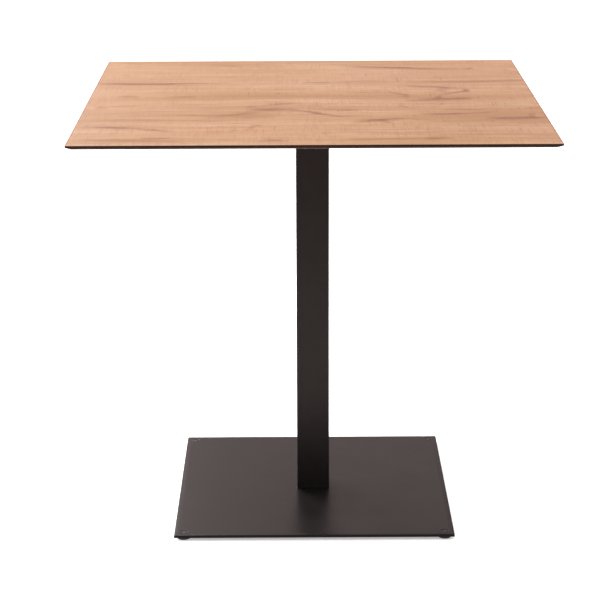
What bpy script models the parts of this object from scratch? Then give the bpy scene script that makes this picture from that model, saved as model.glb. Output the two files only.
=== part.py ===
"""Square bistro table: a thin compact-laminate top on one square steel column and a flat steel base.

Metres, +Z up, origin on the floor under the middle of the column, front towards -Y. The column has a
threaded plate welded into each end. Countersunk bolts hold the cross-shaped bracket to the upper one
and the base plate to the lower one. The top is screwed to the bracket from below, into threaded
inserts. Each corner of the base has a levelling glide: a pad, and a threaded stud that turns in it.
"""
import math

import bmesh
import bpy
from mathutils import Matrix

# Driving dimensions
TABLE_HEIGHT = 0.750
TOP_SIDE = 0.800
TOP_THICKNESS = 0.008
BASE_SIDE = 0.500
BASE_THICKNESS = 0.005
COLUMN_SIDE = 0.060
COLUMN_WALL = 0.002
GLIDE_INSET = 0.017  # glide's axis to the base plate's edges
PAD_HEIGHT = 0.0055

GAP = 0.0003  # clearance between pieces that touch
GLUE_LINE = 0.0001  # between the layers of the top

# Top board
LAMINATE = 0.0007
TOP_BEVEL_INSET = 0.009
TOP_BEVEL_RISE = 0.0047
TOP_CORNER = 0.0015
TOP_ARRIS = 0.0003

# Bracket under the top
ARM_REACH = 0.240  # from the table's centre to the end of an arm
ARM_WIDTH = 0.050
ARM_CORNER = 0.008
BRACKET_THICKNESS = 0.005
TOP_SCREW_OFFSET = 0.159  # along X and along Y
SLOT_WIDTH = 0.007
SLOT_LENGTH = 0.012

# Column and base
COLUMN_CORNER = 0.003
END_PLATE_THICKNESS = 0.008
END_PLATE_CORNER = 0.0008
COLUMN_BOLT_OFFSET = 0.016  # along X and along Y
BASE_CORNER = 0.0015
BASE_ARRIS = 0.0004

# M8 countersunk bolts and M6 button-head screws
BOLT_SHANK_R = 0.0039
BOLT_HEAD_R = 0.0080
BOLT_HEAD_RIM = 0.0003
BOLT_LENGTH = 0.018
BOLT_KEY = 0.005
BOLT_KEY_DEPTH = 0.0028
SCREW_SHANK_R = 0.0029
SCREW_HEAD_R = 0.00525
SCREW_HEAD_HEIGHT = 0.0033
SCREW_LENGTH = 0.0130
SCREW_KEY = 0.004
SCREW_KEY_DEPTH = 0.0020
WASHER_R = 0.0060
WASHER_BORE_R = 0.0033
WASHER_THICKNESS = 0.0016
INSERT_R = 0.0045
INSERT_BORE_R = 0.0032
INSERT_LENGTH = 0.0050

# Levelling glides: M8 stud in a press-in bush, with its foot held in the pad
PAD_R = 0.0120
PAD_EDGE = 0.0006
PAD_FLOOR = 0.0018  # thickness under the stud's foot
POCKET_R = 0.0075
POCKET_MOUTH_R = 0.0055
POCKET_HEIGHT = 0.0024
STUD_R = 0.0040
STUD_FOOT_R = 0.0072
STUD_SLOT_WIDTH = 0.0012  # for a screwdriver, from above
STUD_SLOT_DEPTH = 0.0016
BUSH_R = 0.0068
BUSH_BORE_R = 0.0043
BUSH_FLANGE_R = 0.0085
BUSH_FLANGE_HEIGHT = 0.0012

# Levels from the floor up
BASE_Z = PAD_HEIGHT + GAP
BASE_TOP_Z = BASE_Z + BASE_THICKNESS
COLUMN_Z = BASE_TOP_Z + GAP
TOP_UNDERSIDE_Z = TABLE_HEIGHT - TOP_THICKNESS
BRACKET_TOP_Z = TOP_UNDERSIDE_Z - GAP
BRACKET_Z = BRACKET_TOP_Z - BRACKET_THICKNESS
COLUMN_TOP_Z = BRACKET_Z - GAP

CORNERS = {"front_left": (-1, -1), "front_right": (1, -1), "back_left": (-1, 1), "back_right": (1, 1)}
FINE = 24  # sides of a round piece that shows
COARSE = 16  # sides of a fastener

# name: colour, roughness, metallic
FINISHES = {
    "oak_laminate": ((0.640, 0.370, 0.230), 0.45, 0.0),
    "compact_core": ((0.030, 0.020, 0.018), 0.60, 0.0),
    "black_powder_coat": ((0.022, 0.018, 0.016), 0.50, 0.3),
    "zinc_steel": ((0.550, 0.560, 0.580), 0.35, 1.0),
    "black_steel": ((0.030, 0.028, 0.027), 0.40, 0.8),
    "brass": ((0.700, 0.500, 0.220), 0.35, 1.0),
    "black_nylon": ((0.012, 0.012, 0.012), 0.55, 0.0),
}


def new_collection(name):
    collection = bpy.data.collections.new(name)
    bpy.context.scene.collection.children.link(collection)
    return collection


def new_material(name):
    colour, roughness, metallic = FINISHES[name]
    material = bpy.data.materials.new(name)
    material.use_nodes = True
    shader = material.node_tree.nodes["Principled BSDF"]
    shader.inputs["Base Color"].default_value = (*colour, 1.0)
    shader.inputs["Roughness"].default_value = roughness
    shader.inputs["Metallic"].default_value = metallic
    return material


def new_piece(name, mesh, finish, location=(0, 0, 0)):
    piece = bpy.data.objects.new(name, mesh)
    piece.location = location
    mesh.materials.append(materials[finish])
    parts.objects.link(piece)
    return piece


def new_cutter(name, mesh, location=(0, 0, 0), angle=0.0):
    cutter = bpy.data.objects.new(name, mesh)
    cutter.location = location
    cutter.rotation_euler.z = angle
    cutter.hide_render = True
    cutter.display_type = "WIRE"
    cutters.objects.link(cutter)
    return cutter


def cut(piece, *tools, operation="DIFFERENCE"):
    for tool in tools:
        boolean = piece.modifiers.new(tool.name, "BOOLEAN")
        boolean.operation = operation
        boolean.object = tool
        boolean.solver = "EXACT"


def bmesh_to_mesh(bm, name):
    mesh = bpy.data.meshes.new(name)
    bm.to_mesh(mesh)
    bm.free()
    return mesh


def slab_mesh(name, sections, corner, across=None, corner_steps=3):
    """A flat-topped slab with rounded corners, whose side changes at each level of sections.

    sections lists (z, side) from the top down; across is the other side of an oblong slab.
    """
    (top_z, side), (next_z, next_side) = sections[:2]
    size = (side, across or side, top_z - next_z)
    place = Matrix.Translation((0, 0, (top_z + next_z) / 2)) @ Matrix.Diagonal((*size, 1))
    bm = bmesh.new()
    bmesh.ops.create_cube(bm, size=1, matrix=place)
    uprights = [e for e in bm.edges if abs(e.verts[0].co.z - e.verts[1].co.z) > size[2] / 2]
    bmesh.ops.bevel(bm, geom=uprights, offset=corner, segments=corner_steps, profile=0.5, affect="EDGES")
    lowest = [v for v in bm.verts if v.co.z < top_z - size[2] / 2]
    bmesh.ops.scale(bm, vec=(next_side / side, next_side / side, 1), verts=lowest)
    for (_, side_above), (z, side) in zip(sections[1:], sections[2:]):
        underside = min(bm.faces, key=lambda face: face.calc_center_median().z)
        moved = bmesh.ops.extrude_face_region(bm, geom=[underside])["geom"]
        for vertex in (item for item in moved if isinstance(item, bmesh.types.BMVert)):
            vertex.co = (vertex.co.x * side / side_above, vertex.co.y * side / side_above, z)
        bmesh.ops.delete(bm, geom=[underside], context="FACES_ONLY")
    bmesh.ops.recalc_face_normals(bm, faces=bm.faces)
    return bmesh_to_mesh(bm, name)


def prism_mesh(name, radius, low_z, high_z, sides, low_radius=None):
    """A cylinder or hexagonal prism on Z, or a cone if low_radius is given."""
    bm = bmesh.new()
    place = Matrix.Translation((0, 0, (low_z + high_z) / 2))
    bmesh.ops.create_cone(bm, cap_ends=True, segments=sides, radius1=low_radius or radius,
                          radius2=radius, depth=high_z - low_z, matrix=place)
    return bmesh_to_mesh(bm, name)


def hex_key_mesh(name, across_flats, low_z, high_z):
    return prism_mesh(name, across_flats / math.sqrt(3), low_z, high_z, sides=6)


def turned_piece(name, profile, finish, location=(0, 0, 0), sides=COARSE, ring=False):
    """A turned piece on Z; profile lists (radius, z) down its outer side. A ring's profile is closed."""
    links = [(i, i + 1) for i in range(len(profile) - 1)]
    if ring:
        links.append((len(profile) - 1, 0))
    mesh = bpy.data.meshes.new(name)
    mesh.from_pydata([(radius, 0, z) for radius, z in profile], links, [])
    piece = new_piece(name, mesh, finish, location)
    screw = piece.modifiers.new("turn", "SCREW")
    screw.steps = sides
    screw.render_steps = sides
    screw.use_merge_vertices = True
    screw.merge_threshold = 0.00001
    return piece


def build_top():
    """Three pressed layers, with the lower edge bevelled back so that the board looks thin."""
    surface_z = TABLE_HEIGHT - LAMINATE
    core_z = surface_z - GLUE_LINE
    backing_z = TOP_UNDERSIDE_Z + LAMINATE
    nose_z = TOP_UNDERSIDE_Z + TOP_BEVEL_RISE

    def side_at(z):
        return TOP_SIDE - 2 * TOP_BEVEL_INSET * max(0.0, nose_z - z) / TOP_BEVEL_RISE

    surface = [(TABLE_HEIGHT, TOP_SIDE - 2 * TOP_ARRIS), (TABLE_HEIGHT - TOP_ARRIS, TOP_SIDE),
               (surface_z, TOP_SIDE)]
    core = [(z, side_at(z)) for z in (core_z, nose_z, backing_z + GLUE_LINE)]
    backing = [(z, side_at(z)) for z in (backing_z, TOP_UNDERSIDE_Z)]
    new_piece("tabletop_surface_laminate", slab_mesh("surface", surface, TOP_CORNER), "oak_laminate")
    core_board = new_piece("tabletop_core", slab_mesh("core", core, TOP_CORNER), "compact_core")
    backing_sheet = new_piece("tabletop_backing_laminate", slab_mesh("backing", backing, TOP_CORNER),
                              "oak_laminate")
    hole_top = TOP_UNDERSIDE_Z + INSERT_LENGTH + 2 * GAP
    for corner, (x, y) in CORNERS.items():
        hole = prism_mesh("insert_hole", INSERT_R + GAP, TOP_UNDERSIDE_Z - PAD_HEIGHT, hole_top, COARSE)
        place = (x * TOP_SCREW_OFFSET, y * TOP_SCREW_OFFSET, 0)
        tool = new_cutter("insert_hole_" + corner, hole, place)
        cut(core_board, tool)
        cut(backing_sheet, tool)


def build_top_fixings():
    """An insert in the board, and a button-head screw and washer under each bracket arm."""
    insert_z = TOP_UNDERSIDE_Z + GAP
    insert_top = insert_z + INSERT_LENGTH
    washer_top = BRACKET_Z - GAP
    washer_z = washer_top - WASHER_THICKNESS
    head_top = washer_z - GAP
    head_z = head_top - SCREW_HEAD_HEIGHT
    insert = [(INSERT_BORE_R, insert_top), (INSERT_R, insert_top), (INSERT_R, insert_z),
              (INSERT_BORE_R, insert_z)]
    washer = [(WASHER_BORE_R, washer_top), (WASHER_R, washer_top), (WASHER_R, washer_z),
              (WASHER_BORE_R, washer_z)]
    screw = [(0, head_top + SCREW_LENGTH - GAP), (SCREW_SHANK_R, head_top + SCREW_LENGTH - GAP),
             (SCREW_SHANK_R, head_top), (SCREW_HEAD_R, head_top),
             (SCREW_HEAD_R, head_top - SCREW_HEAD_HEIGHT / 3),
             (SCREW_HEAD_R * 0.85, head_z + SCREW_HEAD_HEIGHT / 4), (SCREW_HEAD_R * 0.6, head_z),
             (0, head_z)]
    for corner, (x, y) in CORNERS.items():
        place = (x * TOP_SCREW_OFFSET, y * TOP_SCREW_OFFSET, 0)
        turned_piece("tabletop_insert_" + corner, insert, "brass", place, ring=True)
        turned_piece("tabletop_washer_" + corner, washer, "zinc_steel", place, ring=True)
        bolt = turned_piece("tabletop_screw_" + corner, screw, "zinc_steel", place)
        key = hex_key_mesh("screw_key", SCREW_KEY, head_z - GAP, head_z + SCREW_KEY_DEPTH)
        cut(bolt, new_cutter("screw_key_" + corner, key, place))


def build_bracket():
    """Two crossed flat bars, cut as one piece, with a slot near the end of each arm."""
    levels = [(BRACKET_TOP_Z, 2 * ARM_REACH), (BRACKET_Z, 2 * ARM_REACH)]
    bar = slab_mesh("bracket_bar", levels, ARM_CORNER, across=ARM_WIDTH)
    bracket = new_piece("top_bracket", bar, "black_powder_coat")
    bracket.rotation_euler.z = math.radians(45)
    cut(bracket, new_cutter("bracket_cross_bar", bar.copy(), angle=math.radians(-45)), operation="UNION")
    slot_levels = [(BRACKET_TOP_Z + GAP, SLOT_LENGTH), (BRACKET_Z - GAP, SLOT_LENGTH)]
    for corner, (x, y) in CORNERS.items():
        slot = slab_mesh("arm_slot", slot_levels, SLOT_WIDTH * 0.499, across=SLOT_WIDTH, corner_steps=5)
        place = (x * TOP_SCREW_OFFSET, y * TOP_SCREW_OFFSET, 0)
        cut(bracket, new_cutter("arm_slot_" + corner, slot, place, math.atan2(y, x)))
    return bracket


def build_column():
    """A square tube, with a tapped plate flush in each end."""
    inner_side = COLUMN_SIDE - 2 * COLUMN_WALL
    outside = [(COLUMN_TOP_Z, COLUMN_SIDE), (COLUMN_Z, COLUMN_SIDE)]
    inside = [(COLUMN_TOP_Z + COLUMN_WALL, inner_side), (COLUMN_Z - COLUMN_WALL, inner_side)]
    tube = new_piece("column_tube", slab_mesh("tube", outside, COLUMN_CORNER), "black_powder_coat")
    bore = slab_mesh("tube_bore", inside, COLUMN_CORNER - COLUMN_WALL)
    cut(tube, new_cutter("column_bore", bore))
    plate_side = inner_side - 2 * GAP
    ends = {"column_head_plate": (COLUMN_TOP_Z, COLUMN_TOP_Z - END_PLATE_THICKNESS),
            "column_foot_plate": (COLUMN_Z + END_PLATE_THICKNESS, COLUMN_Z)}
    plates = []
    for name, (high_z, low_z) in ends.items():
        plate = slab_mesh(name, [(high_z, plate_side), (low_z, plate_side)], END_PLATE_CORNER)
        plates.append(new_piece(name, plate, "zinc_steel"))
    return plates


def build_base():
    levels = [(BASE_TOP_Z, BASE_SIDE - 2 * BASE_ARRIS), (BASE_TOP_Z - BASE_ARRIS, BASE_SIDE),
              (BASE_Z + BASE_ARRIS, BASE_SIDE), (BASE_Z, BASE_SIDE - 2 * BASE_ARRIS)]
    return new_piece("base_plate", slab_mesh("base", levels, BASE_CORNER), "black_powder_coat")


def countersunk_bolts(prefix, clamped, tapped, face_z, direction):
    """Four bolts whose flush heads lie at face_z, pointing in direction (1 up, -1 down).

    clamped is the piece that the heads hold, and tapped is the one that the bolts screw into.
    """
    cone_depth = BOLT_HEAD_RIM + BOLT_HEAD_R - BOLT_SHANK_R
    outline = [(0, 0), (BOLT_HEAD_R, 0), (BOLT_HEAD_R, BOLT_HEAD_RIM), (BOLT_SHANK_R, cone_depth),
               (BOLT_SHANK_R, BOLT_LENGTH), (0, BOLT_LENGTH)]
    if direction > 0:
        outline.reverse()
    head_z = face_z + direction * GAP
    profile = [(radius, head_z + direction * depth) for radius, depth in outline]
    hole = [(0, -GAP), (BOLT_HEAD_R + 2 * GAP, -GAP), (BOLT_HEAD_R + 2 * GAP, BOLT_HEAD_RIM),
            (BOLT_SHANK_R + GAP, cone_depth + GAP), (BOLT_SHANK_R + GAP, BOLT_LENGTH + 2 * GAP),
            (0, BOLT_LENGTH + 2 * GAP)]
    if direction > 0:
        hole.reverse()
    hole_profile = [(radius, head_z + direction * depth) for radius, depth in hole]
    key_levels = sorted((head_z - direction * GAP, head_z + direction * BOLT_KEY_DEPTH))
    for corner, (x, y) in CORNERS.items():
        place = (x * COLUMN_BOLT_OFFSET, y * COLUMN_BOLT_OFFSET, 0)
        bolt = turned_piece(f"{prefix}_{corner}", profile, "zinc_steel", place)
        key = hex_key_mesh("bolt_key", BOLT_KEY, *key_levels)
        cut(bolt, new_cutter(f"{prefix}_key_{corner}", key, place))
        tool = turned_piece(f"{prefix}_hole_{corner}", hole_profile, "zinc_steel", place)
        parts.objects.unlink(tool)
        cutters.objects.link(tool)
        tool.hide_render = True
        tool.display_type = "WIRE"
        cut(clamped, tool)
        cut(tapped, tool)


def build_glide(corner, x, y, base):
    """A flanged bush in the base plate, and a pad and stud that move on the glide's own axis."""
    reach = BASE_SIDE / 2 - GLIDE_INSET
    place = (x * reach, y * reach, 0)
    bush_z = BASE_Z
    bush = [(BUSH_BORE_R, BASE_TOP_Z), (BUSH_R, BASE_TOP_Z), (BUSH_R, bush_z + BUSH_FLANGE_HEIGHT),
            (BUSH_FLANGE_R, bush_z + BUSH_FLANGE_HEIGHT), (BUSH_FLANGE_R, bush_z), (BUSH_BORE_R, bush_z)]
    turned_piece("glide_bush_" + corner, bush, "black_powder_coat", place, FINE, ring=True)
    body_hole = prism_mesh("bush_hole", BUSH_R + GAP, BASE_Z - GAP, BASE_TOP_Z + GAP, FINE)
    flange_hole = prism_mesh("flange_hole", BUSH_FLANGE_R + GAP, BASE_Z - GAP,
                             bush_z + BUSH_FLANGE_HEIGHT + GAP, FINE)
    cut(base, new_cutter("bush_hole_" + corner, body_hole, place),
        new_cutter("flange_hole_" + corner, flange_hole, place))

    axis = bpy.data.objects.new("glide_axis_" + corner, None)
    axis.location = place
    axis.empty_display_size = PAD_R
    parts.objects.link(axis)
    pocket_top = PAD_FLOOR + POCKET_HEIGHT
    pad = [(0, PAD_FLOOR), (POCKET_R, PAD_FLOOR), (POCKET_R, pocket_top), (POCKET_MOUTH_R, pocket_top),
           (POCKET_MOUTH_R, PAD_HEIGHT), (PAD_R - PAD_EDGE, PAD_HEIGHT), (PAD_R, PAD_HEIGHT - PAD_EDGE),
           (PAD_R, PAD_EDGE), (PAD_R - PAD_EDGE, 0), (0, 0)]
    foot_z = PAD_FLOOR + GAP
    foot_top = pocket_top - GAP
    stud_top = BASE_TOP_Z - GAP
    stud = [(0, stud_top), (STUD_R, stud_top), (STUD_R, foot_top), (STUD_FOOT_R, foot_top),
            (STUD_FOOT_R, foot_z), (0, foot_z)]
    pad_piece = turned_piece("glide_pad_" + corner, pad, "black_nylon", sides=FINE)
    stud_piece = turned_piece("glide_stud_" + corner, stud, "black_steel", sides=FINE)
    pad_piece.parent = axis
    stud_piece.parent = axis
    slot_levels = [(stud_top + GAP, 3 * STUD_R), (stud_top - STUD_SLOT_DEPTH, 3 * STUD_R)]
    slot = slab_mesh("stud_slot", slot_levels, STUD_SLOT_WIDTH / 5, across=STUD_SLOT_WIDTH, corner_steps=1)
    cut(stud_piece, new_cutter("stud_slot_" + corner, slot, place))


def shade_round_pieces():
    for piece in parts.objects:
        if piece.type == "MESH" and any(m.type == "SCREW" for m in piece.modifiers):
            piece.data.shade_smooth()
            piece.modifiers["turn"].use_smooth_shade = True


for item in list(bpy.data.objects):
    bpy.data.objects.remove(item, do_unlink=True)
parts = new_collection("bistro_table")
cutters = new_collection("cutters")
materials = {name: new_material(name) for name in FINISHES}

build_top()
build_top_fixings()
top_bracket = build_bracket()
head_plate, foot_plate = build_column()
base_plate = build_base()
countersunk_bolts("bracket_bolt", top_bracket, head_plate, BRACKET_TOP_Z, -1)
countersunk_bolts("base_bolt", base_plate, foot_plate, BASE_Z, 1)
for corner_name, (x_side, y_side) in CORNERS.items():
    build_glide(corner_name, x_side, y_side, base_plate)
shade_round_pieces()
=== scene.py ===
"""The looks of the square bistro table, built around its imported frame. Metres, +Z up, front towards -Y.

Every piece but the column's two end plates is remade in its CAD solid's place, with eased edges, real
threads and key sockets. Each gets a procedural material: a printed oak laminate over a dark phenolic
core, powder coat with its fine orange peel, zinc, brass, blackened steel and moulded nylon.
"""
import math

import bmesh
import bpy
from mathutils import Matrix, Vector


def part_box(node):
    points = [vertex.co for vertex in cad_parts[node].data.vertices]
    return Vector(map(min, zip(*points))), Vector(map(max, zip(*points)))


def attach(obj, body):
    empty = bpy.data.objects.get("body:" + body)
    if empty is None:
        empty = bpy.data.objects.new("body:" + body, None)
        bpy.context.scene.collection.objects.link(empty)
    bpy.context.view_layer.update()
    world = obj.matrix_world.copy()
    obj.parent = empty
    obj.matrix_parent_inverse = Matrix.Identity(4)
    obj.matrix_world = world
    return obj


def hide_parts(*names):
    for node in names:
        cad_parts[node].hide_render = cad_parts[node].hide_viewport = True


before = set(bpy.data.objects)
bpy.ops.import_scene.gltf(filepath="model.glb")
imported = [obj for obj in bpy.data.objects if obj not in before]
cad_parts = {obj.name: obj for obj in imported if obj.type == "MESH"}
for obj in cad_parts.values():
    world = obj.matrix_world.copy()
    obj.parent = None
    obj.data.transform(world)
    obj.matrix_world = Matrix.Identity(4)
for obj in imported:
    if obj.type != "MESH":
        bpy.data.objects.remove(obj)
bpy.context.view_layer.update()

CORNERS = ("front_left", "front_right", "back_left", "back_right")

# Steps along a rounded edge, sides of round pieces, and the distance at which vertices merge
ARC_STEPS = 6
COLUMN_CORNER_STEPS = 10
EDGE_STEPS = 3
ROUND = 72
ROUND_PAD = 96
ROUND_THREAD = 36
LEVELS_A_TURN = 8
WELD = 0.000005

# Widths of eased edges, and radii of the corners seen from above
TOP_ARRIS = 0.0004
CORE_EASE = 0.0004
PLATE_EASE = 0.0005
BRACKET_EASE = 0.0004
HOLE_EASE = 0.0003
TOP_CORNER = 0.0015
BASE_CORNER = 0.0015
COLUMN_CORNER = 0.003
BRACKET_CORNER = 0.008

# Sections and slots that the hidden sides need
COLUMN_WALL = 0.002
BRACKET_ARM = 0.050
SLOT_LENGTH = 0.012
SLOT_WIDTH = 0.007
SLOT_END_R = SLOT_WIDTH * 0.499  # just under half, so that the two bevels of an end don't meet

# Fasteners; a thread's depth is a share of its pitch
THREAD_DEPTH = 0.6
THREAD_FLANK = 1.25
M8_RADIUS = 0.0039
M8_PITCH = 0.00125
M8_NECK_R = M8_RADIUS - 0.0006
M8_NECK = 0.001
M8_THREAD_START = 0.0004
M8_HEAD_R = 0.0080
M8_HEAD_BREAK = 0.0002
M8_KEY = 0.005
M8_KEY_DEPTH = 0.0028
M6_RADIUS = 0.0029
M6_PITCH = 0.001
M6_KEY = 0.004
M6_KEY_DEPTH = 0.002

# A button head's domed side, as shares of the head's height, with its last angle and the flat's chamfer
BUTTON_DOME = 0.8
BUTTON_RIM = 0.05
BUTTON_BRIM = 0.15
BUTTON_LAST_ANGLE = -78
BUTTON_CHAMFER = 0.0004

# Levelling glides
BUSH_R = 0.0068
BUSH_BORE_R = 0.0043
BUSH_FLANGE = 0.0012
POCKET_HEIGHT = 0.0024
PAD_MOUTH_GAP = 0.0015
PAD_EDGE = 0.0010
PAD_GROOVE = (0.62, 0.60, 0.50, 0.48)  # radii of the groove under the pad, as shares of the pad's
STUD_SHOULDER = 0.0006
STUD_SHOULDER_R = M8_RADIUS - 0.0004
STUD_THREAD_START = 0.0002
STUD_SLOT_DEPTH = 0.0016
STUD_SLOT_WIDTH = 0.0012
STUD_SLOT_CORNER = 0.0002

# The laminate's print: the paper's thickness, the darker rim as distances from the middle, and strengths
PAPER = 0.0002
RIM_START = 0.3970
RIM_END = 0.3988
STROKE_SPREAD = 1.4
BAND_DEPTH = 1.1
STREAK_DEPTH = 1.3
DARKEST_STROKE = 0.85
PORE_DEPTH = 0.5
SAW_DEPTH = 0.60
RIM_DEPTH = 0.55

# How far, in metres, the grain wanders from straight lines: in long waves, in ripples and along itself
WARP = 0.024
RIPPLE = 0.016
DRIFT = 0.045

# Linear colours and tints of the materials
OAK_PINK = (0.435, 0.277, 0.184)
OAK_PALE = (0.408, 0.245, 0.143)
OAK_MID = (0.361, 0.206, 0.106)
OAK_DEEP = (0.302, 0.160, 0.073)
OAK_TAN = (0.296, 0.158, 0.060)
OAK_VEIN = (0.270, 0.131, 0.071)
OAK_BLUSH = (1.0, 0.95, 0.96)
OAK_STREAK = (0.125, 0.028, 0.010)
OAK_PORE = (0.110, 0.040, 0.022)
CORE_TINT = (1.0, 0.75, 0.70)
CORE_DARK = (0.022, 0.012, 0.0095)
CORE_BROWN = (0.042, 0.021, 0.016)
CORE_GREY = (0.040, 0.027, 0.023)
POWDER_TONE = (0.0112, 0.0100, 0.0097)
# The base plate's tone is the column's coat made darker: painted shade for the plate low by the floor
PLATE_SHADE_TONE = (0.0052, 0.0044, 0.0042)
COAT_TINT = (1.0, 0.80, 0.80)
POWDER_SPECK = (0.006, 0.005, 0.005)
POWDER_SCUFF = (0.11, 0.10, 0.095)
ZINC = (0.62, 0.63, 0.66)
BRASS = (0.72, 0.50, 0.20)
BLACK_STEEL = (0.080, 0.071, 0.069)
NYLON_BLACK = (0.010, 0.010, 0.010)
NYLON_GREY = (0.028, 0.027, 0.026)

# The camera in degrees and metres, and the studio's brightness
CAMERA_LENS = 118.63
CAMERA_PLACE = (-0.0308, -3.5020, 1.4114)
CAMERA_YAW = -0.124
CAMERA_DOWN = 16.521
CAMERA_ROLL = -0.241
FLOOR_REACH = 30
FLOOR_PAINT = (0.90, 0.90, 0.90)
FLOOR_MOTTLE = (0.92, 0.92, 0.92)
FLOOR_DIM = (0.50, 0.50, 0.50)
# The floor's glow near the table is painted light, not a lamp
FLOOR_GLOW = 0.40
FLOOR_LIT_FROM = -0.6
FLOOR_DIM_FROM = -2.4
ZENITH = 1.8
HORIZON_BACK = 1.10
HORIZON_FRONT = 0.35
HORIZON_LEAN = -0.25
HORIZON_TINT = (1.0, 0.74, 0.72)
WHITE = (1.0, 1.0, 1.0)
LIGHT_AIM = Vector((0, 0, 0.2))


# ---------------------------------------------------------------- mesh helpers

def collection(name):
    made = bpy.data.collections.new(name)
    bpy.context.scene.collection.children.link(made)
    return made


def object_from(bm, name):
    mesh = bpy.data.meshes.new(name)
    bmesh.ops.recalc_face_normals(bm, faces=bm.faces)
    bm.to_mesh(mesh)
    bm.free()
    piece = bpy.data.objects.new(name, mesh)
    looks.objects.link(piece)
    return piece


def slab(name, sections, corner, across=None, corner_steps=ARC_STEPS):
    """A slab with round corners; sections lists (z, side) downwards, and across is its other side."""
    (top_z, side), (next_z, next_side) = sections[:2]
    size = (side, across or side, top_z - next_z)
    place = Matrix.Translation((0, 0, (top_z + next_z) / 2)) @ Matrix.Diagonal((*size, 1))
    bm = bmesh.new()
    bmesh.ops.create_cube(bm, size=1, matrix=place)
    uprights = [e for e in bm.edges if abs(e.verts[0].co.z - e.verts[1].co.z) > size[2] / 2]
    bmesh.ops.bevel(bm, geom=uprights, offset=corner, segments=corner_steps, profile=0.5, affect="EDGES")
    inset = (side - next_side) / 2
    lowest = [v for v in bm.verts if v.co.z < top_z - size[2] / 2]
    shrink(lowest, size, inset)
    size = (size[0] - 2 * inset, size[1] - 2 * inset)
    for (_, side_above), (z, side) in zip(sections[1:], sections[2:]):
        underside = min(bm.faces, key=lambda face: face.calc_center_median().z)
        moved = bmesh.ops.extrude_face_region(bm, geom=[underside])["geom"]
        ring = [item for item in moved if isinstance(item, bmesh.types.BMVert)]
        inset = (side_above - side) / 2
        shrink(ring, size, inset)
        size = (size[0] - 2 * inset, size[1] - 2 * inset)
        for vertex in ring:
            vertex.co.z = z
        bmesh.ops.delete(bm, geom=[underside], context="FACES_ONLY")
    return object_from(bm, name)


def shrink(verts, size, inset):
    """Draws a ring of vertices in by the same distance on every side."""
    for vertex in verts:
        vertex.co.x *= 1 - 2 * inset / size[0]
        vertex.co.y *= 1 - 2 * inset / size[1]


def eased_levels(top_z, low_z, side, ease):
    """Levels of a plate whose upper and lower edges are rounded by the distance ease."""
    turns = [math.pi / 2 * k / EDGE_STEPS for k in range(EDGE_STEPS + 1)]
    upper = [(top_z - ease * (1 - math.cos(a)), side - 2 * ease * (1 - math.sin(a))) for a in turns]
    lower = [(low_z + ease * (1 - math.sin(a)), side - 2 * ease * (1 - math.cos(a))) for a in turns]
    return upper + lower


def spun(name, profile, sides=ROUND, ring=False):
    """A turned piece on Z; profile lists (radius, z) down its outer side."""
    bm = bmesh.new()
    verts = [bm.verts.new((radius, 0, z)) for radius, z in profile]
    pairs = list(zip(verts, verts[1:]))
    if ring:
        pairs.append((verts[-1], verts[0]))
    edges = [bm.edges.new(pair) for pair in pairs]
    bmesh.ops.spin(bm, geom=verts + edges, cent=(0, 0, 0), axis=(0, 0, 1), angle=2 * math.pi,
                   steps=sides, use_merge=True)
    bmesh.ops.remove_doubles(bm, verts=bm.verts, dist=WELD)
    return object_from(bm, name)


def arc(centre_r, centre_z, radius, start, end):
    """Profile points on part of a circle, angles in degrees from the outward direction."""
    angles = [math.radians(start + (end - start) * k / ARC_STEPS) for k in range(ARC_STEPS + 1)]
    return [(centre_r + radius * math.cos(a), centre_z + radius * math.sin(a)) for a in angles]


def threaded_rod(name, radius, pitch, low_z, high_z, full_top=False):
    """A rod with a right-hand thread that runs out at both ends, or keeps its full size at the top."""
    depth = THREAD_DEPTH * pitch
    count = round((high_z - low_z) / pitch * LEVELS_A_TURN)
    bm = bmesh.new()
    rings = []
    for level in range(count + 1):
        z = low_z + (high_z - low_z) * level / count
        end_distance = z - low_z if full_top else min(z - low_z, high_z - z)
        run_out = min(1.0, end_distance / pitch)
        ring = []
        for side in range(ROUND_THREAD):
            turn = side / ROUND_THREAD
            phase = (z / pitch - turn) % 1.0
            groove = 1 - min(1.0, abs(2 * phase - 1) * THREAD_FLANK)
            r = radius - depth * max(groove, 1 - run_out)
            ring.append(bm.verts.new((r * math.cos(math.tau * turn), r * math.sin(math.tau * turn), z)))
        rings.append(ring)
    for lower, upper in zip(rings, rings[1:]):
        for a in range(ROUND_THREAD):
            b = (a + 1) % ROUND_THREAD
            bm.faces.new((lower[a], lower[b], upper[b], upper[a]))
    bm.faces.new(rings[0][::-1])
    bm.faces.new(rings[-1])
    return object_from(bm, name)


def prism(name, radius, low_z, high_z, sides=6):
    """A straight prism on Z, six-sided for a key socket or many-sided for a round hole."""
    bm = bmesh.new()
    place = Matrix.Translation((0, 0, (low_z + high_z) / 2))
    bmesh.ops.create_cone(bm, cap_ends=True, segments=sides, radius1=radius, radius2=radius,
                          depth=high_z - low_z, matrix=place)
    return object_from(bm, name)


def combine(piece, tool, operation):
    """Cuts a tool from a piece, or joins it on, and removes the tool."""
    boolean = piece.modifiers.new(tool.name, "BOOLEAN")
    boolean.operation = operation
    boolean.object = tool
    boolean.solver = "EXACT"
    settle(piece)
    bpy.data.objects.remove(tool, do_unlink=True)


def settle(piece):
    """Applies a piece's modifiers to its mesh."""
    bpy.context.view_layer.update()
    evaluated = piece.evaluated_get(bpy.context.evaluated_depsgraph_get())
    mesh = bpy.data.meshes.new_from_object(evaluated)
    piece.modifiers.clear()
    piece.data = mesh


def move(piece, x, y, angle=0.0):
    piece.data.transform(Matrix.Translation((x, y, 0)) @ Matrix.Rotation(angle, 4, "Z"))
    return piece


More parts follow.
